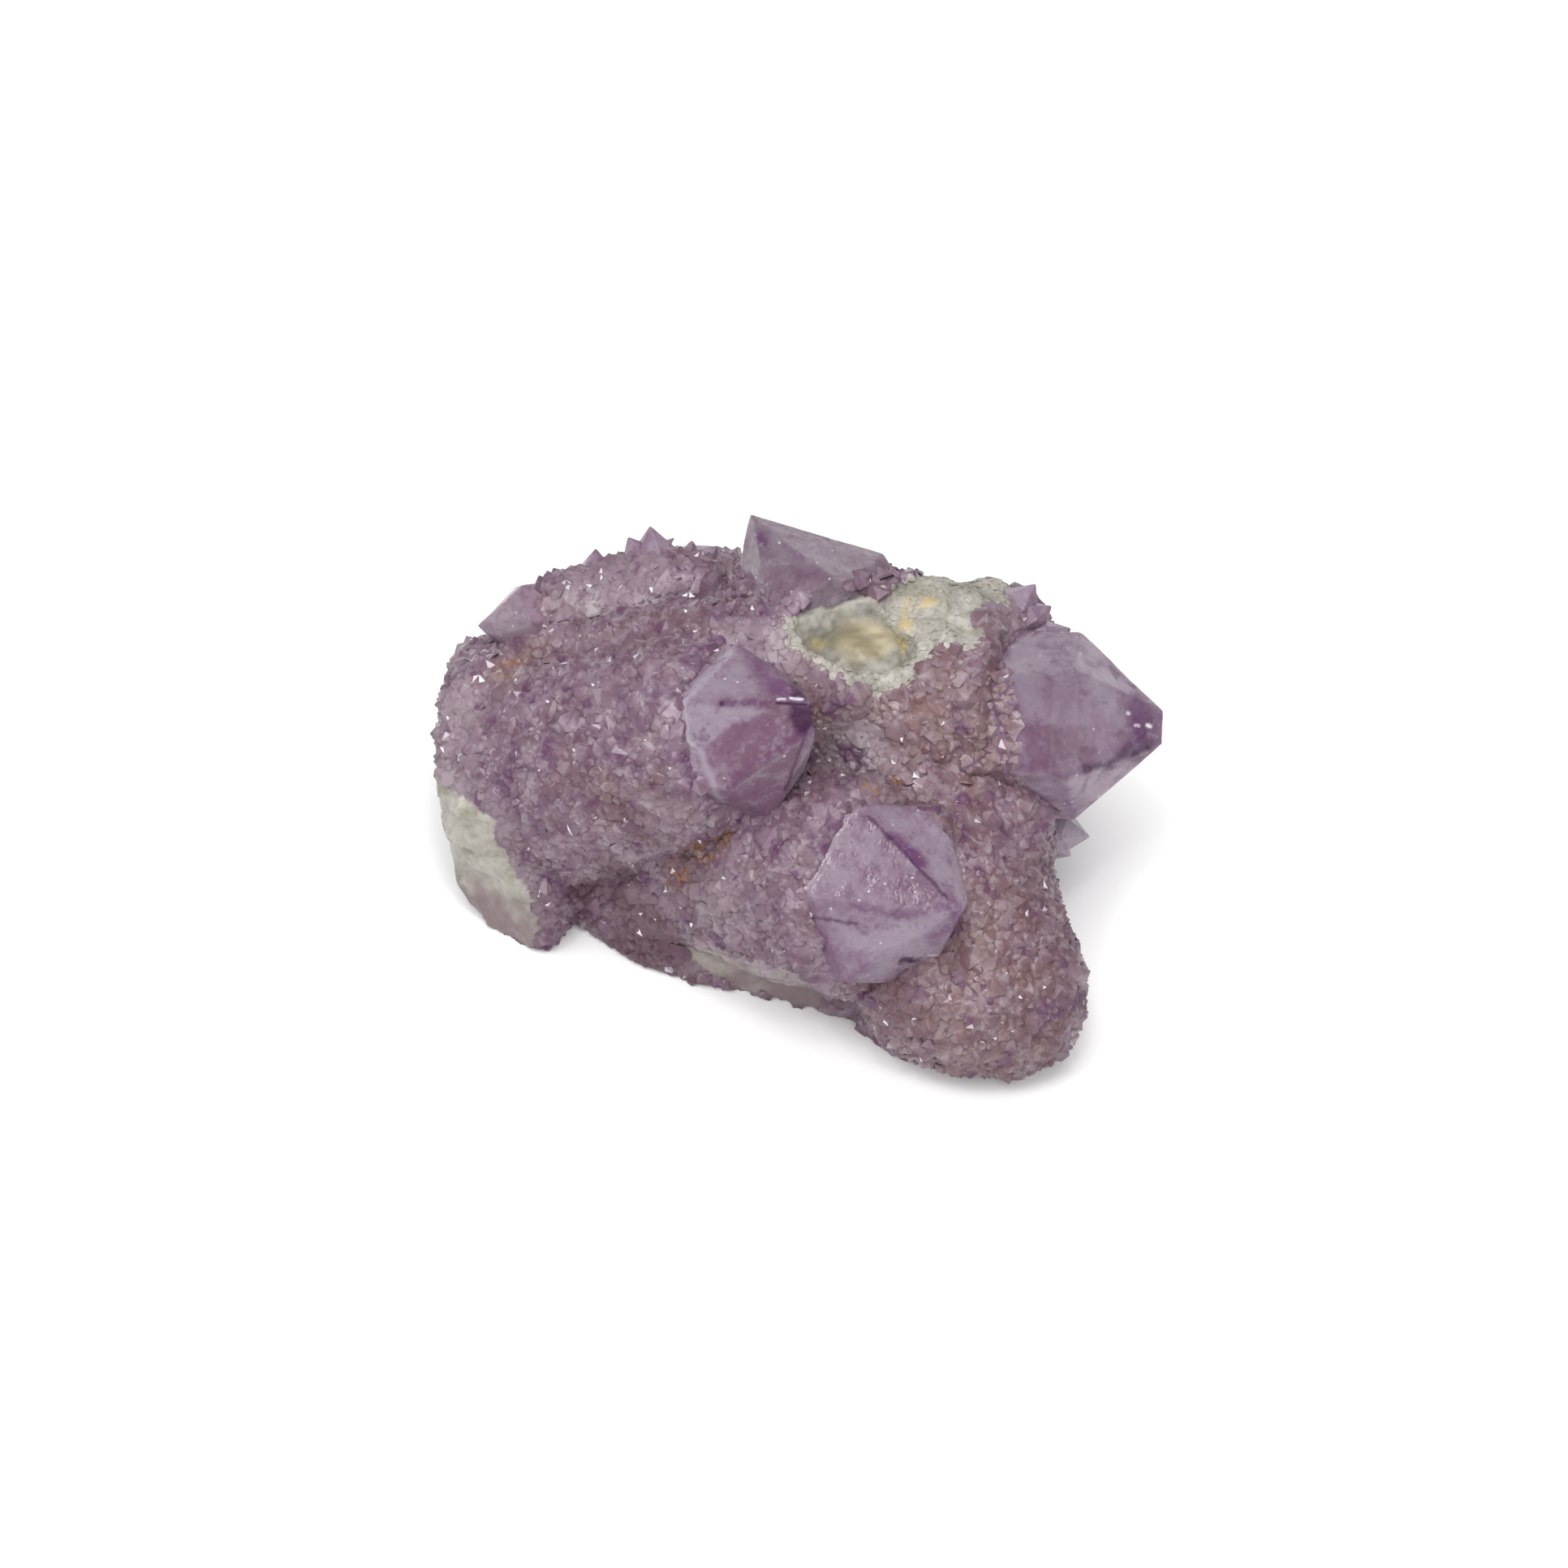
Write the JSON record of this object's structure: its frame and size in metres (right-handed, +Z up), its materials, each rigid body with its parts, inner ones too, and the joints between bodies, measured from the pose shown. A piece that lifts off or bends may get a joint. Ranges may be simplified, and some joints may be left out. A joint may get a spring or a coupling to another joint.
{
  "type": "spirit quartz cluster",
  "caption": "Cluster of stubby amethyst candles grown together, each with a clear six-sided point and a crust of small crystals, resting on a flat broken base.",
  "frame": {"origin": "on the flat broken base, under the middle of the cluster as it lies on a table", "axes": "+X along the longest extent, towards the right candle's point; +Y away from the front candle; +Z up from the base"},
  "size_m": [0.0909, 0.0698, 0.0435],
  "materials": {
    "crystal_crust": "satin",
    "clear_point": "gloss",
    "broken_quartz": "matte"
  },
  "bodies": {
    "root": {"quartz_cluster": "crystal_crust"}
  },
  "joints": []
}
